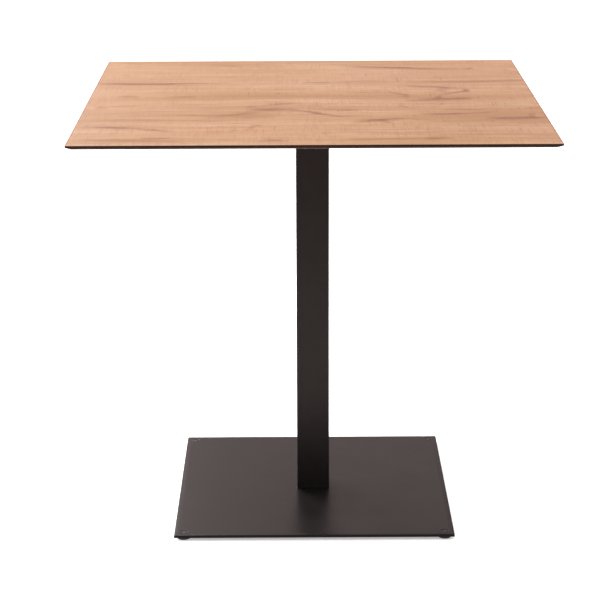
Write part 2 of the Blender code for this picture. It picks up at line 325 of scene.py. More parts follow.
def finish(piece, material, body, node, sharp=30):
    """Shades and paints a piece, and sets it on its body in place of a CAD node."""
    piece.data.materials.clear()
    piece.data.materials.append(material)
    piece.data.shade_smooth()
    piece.data.set_sharp_from_angle(angle=math.radians(sharp))
    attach(piece, body)
    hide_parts(node)


def centre_of(node):
    low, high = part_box(node)
    return (low + high) / 2


# ---------------------------------------------------------------- material helpers

COLOUR_A, COLOUR_B, MIXED_COLOUR = 6, 7, 2  # a Mix node's sockets for colours


class Nodes:
    """A node tree: short calls that add nodes and join them."""

    def __init__(self, tree):
        self.tree = tree

    def node(self, kind, **settings):
        made = self.tree.nodes.new(kind)
        for key, value in settings.items():
            setattr(made, key, value)
        return made

    def feed(self, socket, value):
        if isinstance(value, bpy.types.NodeSocket):
            self.tree.links.new(value, socket)
        else:
            socket.default_value = value

    def math(self, operation, a, b=0.0, c=0.0):
        made = self.node("ShaderNodeMath", operation=operation)
        for socket, value in zip(made.inputs, (a, b, c)):
            self.feed(socket, value)
        return made.outputs[0]

    def split(self, vector):
        made = self.node("ShaderNodeSeparateXYZ")
        self.feed(made.inputs[0], vector)
        return made.outputs

    def span(self, value, low, high, to_low=0.0, to_high=1.0):
        """Maps low..high to to_low..to_high smoothly, and holds it outside."""
        made = self.node("ShaderNodeMapRange", interpolation_type="SMOOTHSTEP")
        for socket, entry in zip(made.inputs, (value, low, high, to_low, to_high)):
            self.feed(socket, entry)
        return made.outputs[0]

    def mix(self, factor, a, b, blend="MIX"):
        made = self.node("ShaderNodeMix", data_type="RGBA", blend_type=blend)
        self.feed(made.inputs["Factor"], factor)
        for socket, value in ((made.inputs[COLOUR_A], a), (made.inputs[COLOUR_B], b)):
            self.feed(socket, value if isinstance(value, bpy.types.NodeSocket) else (*value, 1.0))
        return made.outputs[MIXED_COLOUR]


class Surface(Nodes):
    """A material around one Principled shader, in the piece's own coordinates."""

    def __init__(self, name, roughness=0.5, metallic=0.0, specular=0.5, tint=(1.0, 1.0, 1.0)):
        self.material = bpy.data.materials.new(name)
        self.material.use_nodes = True
        super().__init__(self.material.node_tree)
        self.shader = self.tree.nodes["Principled BSDF"]
        self.shader.inputs["Roughness"].default_value = roughness
        self.shader.inputs["Metallic"].default_value = metallic
        self.shader.inputs["Specular IOR Level"].default_value = specular
        self.shader.inputs["Specular Tint"].default_value = (*tint, 1.0)
        self.place = self.node("ShaderNodeTexCoord").outputs["Object"]

    def scaled(self, scale, offset=(0, 0, 0), place=None):
        made = self.node("ShaderNodeVectorMath", operation="MULTIPLY_ADD")
        self.feed(made.inputs[0], place or self.place)
        made.inputs[1].default_value = scale
        made.inputs[2].default_value = offset
        return made.outputs[0]

    def noise(self, scale, detail=2.0, roughness=0.5, offset=(0, 0, 0), place=None, distortion=0.0):
        made = self.node("ShaderNodeTexNoise")
        self.feed(made.inputs["Vector"], self.scaled(scale, offset, place))
        made.inputs["Scale"].default_value = 1.0
        made.inputs["Detail"].default_value = detail
        made.inputs["Roughness"].default_value = roughness
        made.inputs["Distortion"].default_value = distortion
        return made.outputs["Fac"]

    def ramp(self, value, *stops):
        made = self.node("ShaderNodeValToRGB")
        self.feed(made.inputs[0], value)
        elements = made.color_ramp.elements
        while len(elements) < len(stops):
            elements.new(0.5)
        for element, (position, colour) in zip(elements, stops):
            element.position = position
            element.color = (*colour, 1.0)
        return made.outputs[0]

    def colour(self, value):
        self.feed(self.shader.inputs["Base Color"], value)

    def rough(self, value):
        self.feed(self.shader.inputs["Roughness"], value)

    def bump(self, height, distance, strength=1.0):
        made = self.node("ShaderNodeBump")
        made.inputs["Strength"].default_value = strength
        made.inputs["Distance"].default_value = distance
        self.feed(made.inputs["Height"], height)
        self.feed(self.shader.inputs["Normal"], made.outputs[0])


# The decor's darker figure, in metres from the middle of the top. Each stroke has its centre's x and y,
# half length, half width, slope, bow (added slope per metre along it) and strength
FIGURE = (
    # left: a long line across the back third, with two darker spots
    (-0.290, 0.150, 0.140, 0.0055, 0.02, 0.0, 0.50), (-0.345, 0.157, 0.075, 0.012, 0.05, 0.0, 0.25),
    (-0.275, 0.148, 0.022, 0.0045, 0.0, 0.0, 0.40), (-0.345, 0.372, 0.024, 0.005, -0.3, 0.0, 0.30),
    (-0.340, 0.335, 0.040, 0.004, 0.0, 0.0, 0.22), (-0.165, 0.345, 0.042, 0.006, -0.4, 0.0, 0.25),
    # back right: a slanting line that ends in a small knot
    (0.150, 0.316, 0.105, 0.0080, -0.20, 0.0, 0.48), (0.175, 0.312, 0.032, 0.007, -0.2, 0.0, 0.40),
    (0.255, 0.299, 0.060, 0.004, 0.0, 0.4, 0.38), (0.305, 0.304, 0.010, 0.006, 0.0, 0.0, 0.50),
    # a thin line across the middle of the back half
    (0.012, 0.154, 0.022, 0.005, 0.0, 0.0, 0.45), (0.090, 0.164, 0.090, 0.005, 0.05, -0.9, 0.28),
    (0.300, 0.162, 0.140, 0.006, 0.08, 0.0, 0.38),
    # centre left: two short spots and a wide soft band
    (-0.330, 0.022, 0.022, 0.008, 0.0, 0.0, 0.38), (-0.232, 0.014, 0.030, 0.006, 0.05, 0.0, 0.32),
    (-0.030, 0.018, 0.220, 0.014, 0.0, 0.0, 0.13),
    # right: the knot with its cathedral lines
    (0.220, 0.106, 0.062, 0.0060, -0.30, 0.0, 0.52), (0.285, 0.070, 0.009, 0.012, 0.0, 0.0, 0.50),
    (0.260, 0.045, 0.030, 0.0060, 0.8, 0.0, 0.46), (0.229, 0.008, 0.007, 0.014, 0.0, 0.0, 0.36),
    (0.232, -0.014, 0.065, 0.009, 0.14, 0.0, 0.52), (0.240, 0.076, 0.016, 0.016, 0.0, 0.0, 0.32),
    (0.228, -0.055, 0.005, 0.008, 0.0, 0.0, 0.30),
    # a hooked line left of it
    (0.100, 0.055, 0.042, 0.003, 0.0, 0.0, 0.32), (0.155, 0.040, 0.024, 0.007, -0.9, 0.0, 0.52),
    (0.168, 0.012, 0.006, 0.014, 0.0, 0.0, 0.30), (0.158, -0.075, 0.012, 0.006, -1.0, 0.0, 0.25),
    # centre: a dark arch with a soft shadow to its left
    (-0.060, -0.058, 0.052, 0.0055, 0.25, -2.0, 0.46), (-0.115, -0.080, 0.013, 0.008, 0.6, 0.0, 0.30),
    (-0.070, -0.105, 0.048, 0.009, 0.0, 0.0, 0.60), (0.008, -0.138, 0.054, 0.0065, -0.62, 0.0, 0.56),
    (-0.130, -0.145, 0.042, 0.010, 0.5, 0.0, 0.34), (-0.185, -0.156, 0.052, 0.005, 0.0, 0.0, 0.26),
    (-0.100, -0.165, 0.042, 0.018, 0.0, 0.0, 0.20), (0.050, -0.107, 0.072, 0.004, -0.04, 0.0, 0.38),
    (0.065, -0.109, 0.020, 0.006, 0.0, 0.0, 0.30), (0.060, -0.163, 0.030, 0.0035, 0.0, 0.0, 0.25),
    # left front: fine lines
    (-0.372, -0.080, 0.013, 0.012, 0.0, 0.0, 0.30), (-0.330, -0.066, 0.052, 0.004, 0.15, 0.0, 0.26),
    (-0.250, -0.197, 0.155, 0.004, -0.05, 0.0, 0.26), (-0.335, -0.255, 0.060, 0.0065, -0.15, 0.0, 0.50),
    (-0.262, -0.277, 0.034, 0.006, -0.4, 0.0, 0.36), (-0.300, -0.360, 0.085, 0.006, -0.08, 0.0, 0.36),
    (-0.255, -0.343, 0.032, 0.005, 0.0, 0.0, 0.30), (-0.093, -0.243, 0.012, 0.006, 0.0, 0.0, 0.32),
    (-0.105, -0.268, 0.006, 0.012, 0.0, 0.0, 0.26),
    # front: two smudges near the edge
    (-0.065, -0.366, 0.028, 0.007, -0.1, 0.0, 0.46), (0.130, -0.356, 0.095, 0.005, 0.03, 0.0, 0.32),
    (0.195, -0.352, 0.022, 0.010, 0.0, 0.0, 0.32),
    # right front: broader dark lines
    (0.110, -0.202, 0.048, 0.008, 0.25, 0.0, 0.54), (0.122, -0.214, 0.013, 0.009, 0.0, 0.0, 0.36),
    (0.172, -0.192, 0.042, 0.004, -0.25, 0.0, 0.30), (0.250, -0.149, 0.075, 0.005, 0.10, 1.5, 0.42),
    (0.350, -0.190, 0.062, 0.009, -0.02, 1.2, 0.50), (0.262, -0.108, 0.044, 0.004, 0.02, 0.0, 0.34),
    (0.385, -0.100, 0.022, 0.004, 0.05, 0.0, 0.38), (0.375, -0.165, 0.012, 0.010, 0.4, 0.0, 0.26),
    # broad reddish clouds
    (0.310, -0.175, 0.150, 0.045, 0.0, 0.0, 0.13), (-0.150, 0.005, 0.120, 0.022, 0.0, 0.0, 0.08),
    (0.250, -0.020, 0.140, 0.028, 0.0, 0.0, 0.08), (-0.140, 0.345, 0.120, 0.022, 0.0, 0.0, 0.08),
)

# Wide tan bands of the decor, listed the same way
BANDS = (
    (0.000, 0.395, 0.600, 0.012, 0.0, 0.0, 0.60), (0.220, 0.360, 0.260, 0.026, 0.0, 0.0, 0.40),
    (-0.170, 0.352, 0.160, 0.016, -0.05, 0.0, 0.40), (-0.150, 0.268, 0.300, 0.009, 0.0, 0.0, 0.45),
    (-0.300, 0.300, 0.360, 0.100, 0.0, 0.0, 0.24), (-0.330, -0.010, 0.300, 0.080, 0.0, 0.0, 0.14),
    (0.280, 0.175, 0.240, 0.022, 0.02, 0.0, 0.40), (-0.320, 0.165, 0.160, 0.022, 0.0, 0.0, 0.35),
    (-0.060, 0.028, 0.300, 0.026, 0.0, 0.0, 0.70), (0.260, 0.005, 0.220, 0.028, 0.0, 0.0, 0.60),
    (-0.300, -0.010, 0.170, 0.009, 0.02, 0.0, 0.40), (0.310, -0.170, 0.200, 0.050, 0.0, 0.0, 0.75),
    (-0.120, -0.155, 0.090, 0.022, 0.15, 0.0, 0.50), (-0.180, -0.197, 0.260, 0.008, 0.0, 0.0, 0.45),
    (0.060, -0.090, 0.160, 0.012, 0.0, 0.0, 0.35), (0.200, -0.245, 0.240, 0.010, 0.0, 0.0, 0.35),
    (-0.250, -0.365, 0.180, 0.015, 0.0, 0.0, 0.55), (0.120, -0.366, 0.240, 0.013, 0.0, 0.0, 0.55),
)


def stroke_group():
    """One soft stroke along X: its darkness falls off at its ends and across its width."""
    group = bpy.data.node_groups.new("decor_stroke", "ShaderNodeTree")
    names = ("X", "Y", "Centre X", "Centre Y", "Half length", "Half width", "Slope", "Bow", "Strength")
    for name in names:
        group.interface.new_socket(name, in_out="INPUT", socket_type="NodeSocketFloat")
    group.interface.new_socket("Darkness", in_out="OUTPUT", socket_type="NodeSocketFloat")
    s = Nodes(group)
    source = s.node("NodeGroupInput").outputs
    along = s.math("SUBTRACT", source["X"], source["Centre X"])
    bend = s.math("MULTIPLY_ADD", along, source["Bow"], source["Slope"])
    line = s.math("MULTIPLY_ADD", along, bend, source["Centre Y"])
    away = s.math("SUBTRACT", source["Y"], line)
    reach = s.math("DIVIDE", along, source["Half length"])
    taper = s.math("MAXIMUM", s.math("SUBTRACT", 1.0, s.math("MULTIPLY", reach, reach)), 0.0)
    across = s.math("DIVIDE", away, source["Half width"])
    soft = s.math("EXPONENT", s.math("MULTIPLY", s.math("MULTIPLY", across, across), -1.0))
    shade = s.math("MULTIPLY", soft, s.math("MULTIPLY", taper, source["Strength"]))
    s.feed(s.node("NodeGroupOutput").inputs[0], shade)
    return group


def painted(s, base, strokes, x, y, mask, colour, depth):
    """Lays soft strokes of one colour over a base, broken up by a mask."""
    darkness = 0.0
    for stroke in strokes:
        made = s.node("ShaderNodeGroup", node_tree=STROKE)
        for socket, value in zip(made.inputs, (x, y, *stroke)):
            s.feed(socket, value)
        made.inputs["Half width"].default_value *= STROKE_SPREAD
        made.inputs["Strength"].default_value *= depth
        darkness = s.math("ADD", darkness, made.outputs[0])
    return s.mix(s.math("MINIMUM", s.math("MULTIPLY", darkness, mask), DARKEST_STROKE), base, colour)


def oak_ground(s, place, shift):
    """The decor's tone bands and fibre along X; returns the base colour and the tones behind it."""
    tones = s.noise((1.8, 15.0, 1.0), detail=5.0, roughness=0.62, offset=shift, place=place)
    base = s.ramp(tones, (0.32, OAK_DEEP), (0.455, OAK_MID), (0.585, OAK_PALE), (0.70, OAK_PINK))
    veins = s.noise((2.6, 70.0, 1.0), detail=5.0, roughness=0.65, offset=shift, place=place)
    base = s.mix(s.span(veins, 0.50, 0.72, 0.0, 0.85), base, OAK_VEIN)
    lines = s.noise((6.5, 105.0, 1.0), detail=4.0, roughness=0.6, offset=(2.7, 5.1, 0.0), place=place)
    base = s.mix(s.span(lines, 0.50, 0.68, 0.0, 0.62), base, OAK_VEIN)
    lights = s.noise((3.1, 52.0, 1.0), detail=4.0, roughness=0.6, offset=(4.4, 8.8, 0.0), place=place)
    return s.mix(s.span(lights, 0.50, 0.72, 0.0, 0.75), base, OAK_PINK), tones


def saw_marks(s, x, shift):
    """Thin marks across the grain, in patches and mostly towards the right."""
    saw = s.noise((95.0, 1.3, 1.0), detail=2.0, offset=shift)
    thin = s.span(s.math("ABSOLUTE", s.math("SUBTRACT", saw, 0.5)), 0.003, 0.012, 1.0, 0.0)
    patch = s.noise((17.0, 26.0, 1.0), detail=2.0, offset=(3.1, 1.7, 0.0))
    to_right = s.span(x, -0.45, 0.35, 0.35, 0.80)
    return s.math("MULTIPLY", thin, s.math("MULTIPLY", s.span(patch, 0.50, 0.66), to_right))


def oak_laminate(name, face_z, bands, strokes, shift=(0.0, 0.0, 0.0)):
    """A printed oak decor: tone bands and fibre along X, darker figure, pores and cross-grain saw marks.

    Only the paper on the outer face, at the height face_z, carries the print: below it lies brown kraft.
    """
    s = Surface(name, roughness=0.55, specular=0.15)
    x, y, z = s.split(s.place)
    warp = s.noise((5.0, 22.0, 1.0), detail=3.0, offset=shift)
    ripple = s.noise((34.0, 90.0, 1.0), detail=3.0, offset=shift)
    sway = s.math("MULTIPLY_ADD", s.math("SUBTRACT", warp, 0.5), WARP, y)
    sway = s.math("MULTIPLY_ADD", s.math("SUBTRACT", ripple, 0.5), RIPPLE, sway)
    drift = s.noise((24.0, 24.0, 1.0), detail=3.0, offset=(7.3, 2.9, 0.0))
    sideways = s.math("MULTIPLY_ADD", s.math("SUBTRACT", drift, 0.5), DRIFT, x)
    join = s.node("ShaderNodeCombineXYZ")
    s.feed(join.inputs[0], x)
    s.feed(join.inputs[1], sway)
    grain = join.outputs[0]

    base, tones = oak_ground(s, grain, shift)
    broken = s.noise((3.0, 60.0, 1.0), detail=4.0, offset=(9.1, 0.4, 0.0), place=grain)
    band_mask = s.span(broken, 0.3, 0.7, 0.6, 1.15)
    base = painted(s, base, bands, sideways, sway, band_mask, OAK_TAN, BAND_DEPTH)
    blush = s.noise((3.0, 11.0, 1.0), detail=3.0, offset=(1.9, 6.2, 0.0), place=grain)
    blush = s.math("ADD", s.span(blush, 0.42, 0.66, 0.0, 0.8), s.span(x, -0.05, 0.45, 0.0, 0.5))
    base = s.mix(blush, base, OAK_BLUSH, blend="MULTIPLY")
    streaky = s.noise((9.0, 330.0, 1.0), detail=4.0, offset=shift, place=grain)
    streak_mask = s.span(streaky, 0.25, 0.72, 0.5, 1.4)
    base = painted(s, base, strokes, sideways, sway, streak_mask, OAK_STREAK, STREAK_DEPTH)
    fibre = s.noise((14.0, 1150.0, 1.0), detail=2.0, offset=shift, place=grain)
    base = s.mix(s.span(fibre, 0.25, 0.75, 0.0, 0.22), base, OAK_DEEP)
    cross = s.noise((230.0, 15.0, 1.0), detail=5.0, roughness=0.72, offset=shift)
    cross_patch = s.noise((11.0, 17.0, 1.0), detail=2.0, offset=(6.6, 3.3, 0.0))
    crossed = s.math("MULTIPLY", s.span(cross, 0.42, 0.74), s.span(cross_patch, 0.35, 0.65, 0.18, 0.75))
    base = s.mix(crossed, base, OAK_VEIN)

    pores = s.noise((55.0, 2300.0, 1.0), detail=1.0, offset=shift, place=grain)
    pore_patch = s.noise((9.0, 40.0, 1.0), detail=1.0, offset=shift)
    pore = s.math("MULTIPLY", s.span(pores, 0.62, 0.70), s.span(pore_patch, 0.40, 0.62, 0.15, 0.75))
    base = s.mix(s.math("MULTIPLY", pore, PORE_DEPTH), base, OAK_PORE)
    sawn = saw_marks(s, x, shift)
    base = s.mix(s.math("MULTIPLY", sawn, SAW_DEPTH), base, OAK_PORE)

    rim = s.math("MAXIMUM", s.math("ABSOLUTE", x), y)
    base = s.mix(s.span(rim, RIM_START, RIM_END, 0.0, RIM_DEPTH), base, OAK_STREAK)
    under_face = s.math("ABSOLUTE", s.math("SUBTRACT", z, face_z))
    s.colour(s.mix(s.span(under_face, PAPER, 1.5 * PAPER), base, CORE_BROWN))
    s.rough(s.span(tones, 0.2, 0.8, 0.50, 0.60))
    relief = s.math("MULTIPLY_ADD", pore, -0.6, s.math("MULTIPLY", fibre, 0.35))
    relief = s.math("MULTIPLY_ADD", sawn, -0.5, relief)
    s.bump(relief, 0.00012, 0.6)
    return s.material


def compact_core():
    """Dark brown phenolic board: thin pressed layers and fine milling marks along its edge."""
    s = Surface("compact_core", roughness=0.55, specular=0.003, tint=CORE_TINT)
    layers = s.noise((3.0, 3.0, 5200.0), detail=2.0)
    blotch = s.noise((40.0, 40.0, 60.0), detail=3.0)
    tone = s.mix(s.span(layers, 0.3, 0.7, 0.0, 0.7), CORE_DARK, CORE_BROWN)
    s.colour(s.mix(s.span(blotch, 0.35, 0.75, 0.0, 0.4), tone, CORE_GREY))
    s.rough(s.span(layers, 0.2, 0.8, 0.48, 0.62))
    mill = s.noise((900.0, 900.0, 120.0), detail=1.0)
    s.bump(s.math("ADD", layers, mill), 0.00003, 0.5)
    return s.material


def powder_coat(name, tone, gloss, specular, scuffed=False):
    """Satin powder coat: a fine orange peel, a slight cloudiness, dull specks and, if asked, shoe scuffs."""
    s = Surface(name, roughness=gloss, specular=specular, tint=COAT_TINT)
    peel = s.noise((620.0, 620.0, 620.0), detail=2.0, roughness=0.45)
    cloud = s.noise((9.0, 9.0, 9.0), detail=3.0)
    speck = s.noise((2600.0, 2600.0, 2600.0), detail=1.0)
    lighter = tuple(1.35 * channel + 0.002 for channel in tone)
    base = s.mix(s.span(cloud, 0.3, 0.7, 0.0, 0.5), tone, lighter)
    base = s.mix(s.span(speck, 0.60, 0.75, 0.0, 0.5), base, POWDER_SPECK)
    rough = s.span(cloud, 0.25, 0.75, gloss - 0.03, gloss + 0.03)
    if scuffed:
        scratch = s.noise((38.0, 260.0, 1.0), detail=3.0, distortion=0.4)
        patch = s.noise((7.0, 7.0, 1.0), detail=2.0, offset=(0.8, 2.3, 0.0))
        scuff = s.math("MULTIPLY", s.span(scratch, 0.66, 0.74), s.span(patch, 0.52, 0.66))
        base = s.mix(s.math("MULTIPLY", scuff, 0.25), base, POWDER_SCUFF)
        rough = s.math("MULTIPLY_ADD", scuff, 0.12, rough)
    s.colour(base)
    s.rough(rough)
    s.bump(peel, 0.00010, 0.5)
    return s.material


def turned_metal(name, tone, rough):
    """Zinc-plated steel, blackened steel or brass, with turning lines and a slightly uneven film."""
    s = Surface(name, roughness=rough, metallic=1.0)
    film = s.noise((260.0, 260.0, 260.0), detail=3.0)
    lines = s.noise((150.0, 150.0, 5200.0), detail=1.0)
    duller = tuple(0.72 * channel for channel in tone)
    s.colour(s.mix(s.span(film, 0.3, 0.7), tone, duller))
    s.rough(s.span(film, 0.3, 0.7, rough - 0.06, rough + 0.10))
    s.bump(s.math("ADD", lines, film), 0.00002, 0.4)
    return s.material


def moulded_nylon():
    """Black nylon with a fine spark-eroded grain and a little dust in it."""
    s = Surface("black_nylon", roughness=0.5, specular=0.4)
    grain = s.noise((1900.0, 1900.0, 1900.0), detail=2.0)
    wear = s.noise((160.0, 160.0, 160.0), detail=3.0)
    s.colour(s.mix(s.span(wear, 0.5, 0.8, 0.0, 0.6), NYLON_BLACK, NYLON_GREY))
    s.rough(s.span(wear, 0.3, 0.8, 0.46, 0.62))
    s.bump(grain, 0.00005, 0.5)
    return s.material


# ---------------------------------------------------------------- the pieces

def build_top():
    """Printed sheet, dark core and backing sheet; the bevel below the nose is the CAD solids' own slope."""
    low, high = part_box("tabletop_surface_laminate")
    core_low, core_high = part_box("tabletop_core")
    backing_low, backing_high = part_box("tabletop_backing_laminate")
    side = high.x - low.x
    levels = eased_levels(high.z, core_high.z, side, TOP_ARRIS)[:EDGE_STEPS + 1] + [(core_high.z, side)]
    sheet = slab("surface_sheet", levels, TOP_CORNER)
    finish(sheet, OAK, "table", "tabletop_surface_laminate")

    backing_side = backing_high.x - backing_low.x
    underside = 2 * max(v.co.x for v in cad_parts["tabletop_backing_laminate"].data.vertices
                        if v.co.z < backing_low.z + CORE_EASE / 2)
    slope = (backing_side - underside) / (backing_high.z - backing_low.z)
    nose_z = backing_high.z + (side - backing_side) / slope
    core_foot = side - slope * (nose_z - core_low.z)
    levels = [(core_high.z, side), (nose_z + CORE_EASE, side), (nose_z, side - CORE_EASE / 4),
              (nose_z - CORE_EASE, side - slope * CORE_EASE), (core_low.z, core_foot)]
    core = slab("core_board", levels, TOP_CORNER)
    levels = [(core_low.z, core_foot), (backing_low.z + CORE_EASE / 3, underside + slope * CORE_EASE / 3),
              (backing_low.z, underside - CORE_EASE / 2)]
    backing = slab("backing_sheet", levels, TOP_CORNER)
    for corner in CORNERS:
        node = "tabletop_insert_" + corner
        insert_low, insert_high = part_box(node)
        middle = centre_of(node)
        radius = (insert_high.x - insert_low.x) / 2 + HOLE_EASE
        for board in (core, backing):
            tool = prism("insert_hole", radius, backing_low.z - HOLE_EASE, insert_high.z + HOLE_EASE, ROUND)
            combine(board, move(tool, middle.x, middle.y), "DIFFERENCE")
    finish(core, CORE, "table", "tabletop_core", sharp=12)
    finish(backing, OAK_BACK, "table", "tabletop_backing_laminate")


def build_top_fixings():
    """A button-head screw, a washer and a knurled insert at each arm of the bracket."""
    for corner in CORNERS:
        low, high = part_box("tabletop_screw_" + corner)
        middle = centre_of("tabletop_screw_" + corner)
        washer_low, washer_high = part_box("tabletop_washer_" + corner)
        head_r = (high.x - low.x) / 2
        head_top = washer_low.z - HOLE_EASE
        height = head_top - low.z
        dome_r, rim = height * BUTTON_DOME, height * BUTTON_RIM
        dome = arc(head_r - dome_r, head_top - height * BUTTON_BRIM, dome_r, 0, BUTTON_LAST_ANGLE)
        profile = [(0, head_top), (head_r - rim, head_top), (head_r, head_top - rim)]
        profile += dome + [(dome[-1][0] - BUTTON_CHAMFER, low.z), (0, low.z)]
        screw = spun("button_screw_" + corner, profile)
        rod = threaded_rod("screw_thread", M6_RADIUS, M6_PITCH, head_top - HOLE_EASE, high.z)
        combine(screw, rod, "UNION")
        key = prism("screw_key", M6_KEY / math.sqrt(3), low.z - HOLE_EASE, low.z + M6_KEY_DEPTH)
        combine(screw, key, "DIFFERENCE")
        finish(move(screw, middle.x, middle.y), ZINC_STEEL, "table", "tabletop_screw_" + corner)

        bore_r = M6_RADIUS + HOLE_EASE
        washer_r = (washer_high.x - washer_low.x) / 2
        profile = chamfered_ring(bore_r, washer_r, washer_low.z, washer_high.z, HOLE_EASE / 2)
        washer = spun("flat_washer_" + corner, profile, ring=True)
        finish(move(washer, middle.x, middle.y), ZINC_STEEL, "table", "tabletop_washer_" + corner)

        insert_low, insert_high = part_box("tabletop_insert_" + corner)
        insert_r = (insert_high.x - insert_low.x) / 2
        profile = chamfered_ring(bore_r, insert_r, insert_low.z, insert_high.z, HOLE_EASE)
        insert = spun("knurled_insert_" + corner, profile, ring=True)
        knurl(insert, insert_r, HOLE_EASE / 2)
        finish(move(insert, middle.x, middle.y), BRASS_METAL, "table", "tabletop_insert_" + corner)


def chamfered_ring(bore_r, outer_r, low_z, high_z, chamfer):
    """Profile of a ring whose four edges are chamfered."""
    return [(bore_r, high_z - chamfer), (bore_r + chamfer, high_z), (outer_r - chamfer, high_z),
            (outer_r, high_z - chamfer), (outer_r, low_z + chamfer), (outer_r - chamfer, low_z),
            (bore_r + chamfer, low_z), (bore_r, low_z + chamfer)]


def knurl(piece, radius, depth):
    """Draws in every second line of vertices on a turned piece's outer wall."""
    for vertex in piece.data.vertices:
        r = math.hypot(vertex.co.x, vertex.co.y)
        turn = round(math.atan2(vertex.co.y, vertex.co.x) / math.tau * ROUND)
        if r > radius - depth and turn % 2:
            vertex.co.x *= 1 - depth / r
            vertex.co.y *= 1 - depth / r


def build_bracket():
    """A cross of two flat arms, with a slot at each arm's end and four countersunk holes."""
    low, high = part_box("top_bracket")
    reach = max(v.co.x + v.co.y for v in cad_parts["top_bracket"].data.vertices) / math.sqrt(2)
    levels = eased_levels(high.z, low.z, 2 * reach, BRACKET_EASE)
    bracket = slab("bracket_cross", levels, BRACKET_CORNER, across=BRACKET_ARM)
    other = slab("bracket_arm", levels, BRACKET_CORNER, across=BRACKET_ARM)
    move(other, 0, 0, angle=math.pi / 2)
    combine(bracket, other, "UNION")
    move(bracket, 0, 0, angle=math.pi / 4)
    for corner in CORNERS:
        middle = centre_of("tabletop_screw_" + corner)
        slot = slab("arm_slot", [(high.z + BRACKET_EASE, SLOT_LENGTH), (low.z - BRACKET_EASE, SLOT_LENGTH)],
                    SLOT_END_R, across=SLOT_WIDTH)
        combine(bracket, move(slot, middle.x, middle.y, angle=math.atan2(middle.y, middle.x)), "DIFFERENCE")
        middle = centre_of("bracket_bolt_" + corner)
        combine(bracket, move(countersink(high.z, low.z), middle.x, middle.y), "DIFFERENCE")
    finish(bracket, POWDER, "table", "top_bracket")


def countersink(head_z, far_z):
    """A hole for an M8 countersunk bolt whose head lies at head_z."""
    way = 1 if head_z > far_z else -1
    rim = head_z - way * 2 * HOLE_EASE
    cone = rim - way * (M8_HEAD_R - M8_RADIUS)
    profile = [(0, head_z + way * HOLE_EASE), (M8_HEAD_R + 2 * HOLE_EASE, head_z + way * HOLE_EASE),
               (M8_HEAD_R + 2 * HOLE_EASE, rim), (M8_RADIUS + HOLE_EASE, cone - way * HOLE_EASE),
               (M8_RADIUS + HOLE_EASE, far_z - way * HOLE_EASE), (0, far_z - way * HOLE_EASE)]
    if way < 0:
        profile.reverse()
    return spun("countersink", profile)


def build_countersunk_bolts(prefix, way):
    """way is 1 where the head is uppermost, and -1 where it is at the bottom."""
    for corner in CORNERS:
        node = f"{prefix}_{corner}"
        low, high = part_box(node)
        middle = centre_of(node)
        head_z, tip_z = (high.z, low.z) if way > 0 else (low.z, high.z)
        rim = head_z - way * HOLE_EASE
        cone = rim - way * (M8_HEAD_R - M8_RADIUS)
        neck = cone - way * M8_NECK
        profile = [(0, head_z), (M8_HEAD_R - M8_HEAD_BREAK, head_z), (M8_HEAD_R, rim), (M8_NECK_R, cone),
                   (M8_NECK_R, neck), (0, neck)]
        if way < 0:
            profile.reverse()
        bolt = spun(f"countersunk_{prefix}_{corner}", profile)
        ends = sorted((cone + way * M8_THREAD_START, tip_z))
        combine(bolt, threaded_rod("bolt_thread", M8_RADIUS, M8_PITCH, *ends), "UNION")
        key_ends = sorted((head_z + way * HOLE_EASE, head_z - way * M8_KEY_DEPTH))
        combine(bolt, prism("bolt_key", M8_KEY / math.sqrt(3), *key_ends), "DIFFERENCE")
        finish(move(bolt, middle.x, middle.y), ZINC_STEEL, "table", node)


def build_column():
    """A square tube with round corners; its two end plates stay the CAD solids."""
    low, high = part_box("column_tube")
    side = high.x - low.x
    levels = eased_levels(high.z, low.z, side, HOLE_EASE)
    column = slab("column_profile", levels, COLUMN_CORNER, corner_steps=COLUMN_CORNER_STEPS)
    inner = side - 2 * COLUMN_WALL
    bore = slab("column_bore", [(high.z + COLUMN_WALL, inner), (low.z - COLUMN_WALL, inner)],
                COLUMN_CORNER - COLUMN_WALL)
    combine(column, bore, "DIFFERENCE")
    finish(column, POWDER, "table", "column_tube")
    for node in ("column_head_plate", "column_foot_plate"):
        paint_node(node, ZINC_STEEL)


def paint_node(node, material):
    """Gives a CAD solid that stays in the picture its material."""
    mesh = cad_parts[node].data
    mesh.materials.clear()
    mesh.materials.append(material)


def build_base():
    """The flat plate, countersunk from below and stepped for the glides' bushes."""
    low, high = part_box("base_plate")
    side = high.x - low.x
    plate = slab("base_sheet", eased_levels(high.z, low.z, side, PLATE_EASE), BASE_CORNER)
    for corner in CORNERS:
        middle = centre_of("base_bolt_" + corner)
        combine(plate, move(countersink(low.z, high.z), middle.x, middle.y), "DIFFERENCE")
        bush_low, bush_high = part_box("glide_bush_" + corner)
        middle = centre_of("glide_bush_" + corner)
        flange_r = (bush_high.x - bush_low.x) / 2 + HOLE_EASE
        hole_r = BUSH_R + HOLE_EASE
        profile = [(0, high.z + HOLE_EASE), (hole_r + 2 * HOLE_EASE, high.z + HOLE_EASE),
                   (hole_r, high.z - HOLE_EASE), (hole_r, low.z + BUSH_FLANGE + HOLE_EASE),
                   (flange_r, low.z + BUSH_FLANGE + HOLE_EASE), (flange_r, low.z - HOLE_EASE),
                   (0, low.z - HOLE_EASE)]
        combine(plate, move(spun("bush_hole", profile), middle.x, middle.y), "DIFFERENCE")
    # Painted shade: the plate's coat is a darker copy of the column's
    finish(plate, PLATE_COAT_PAINTED_SHADE, "table", "base_plate")


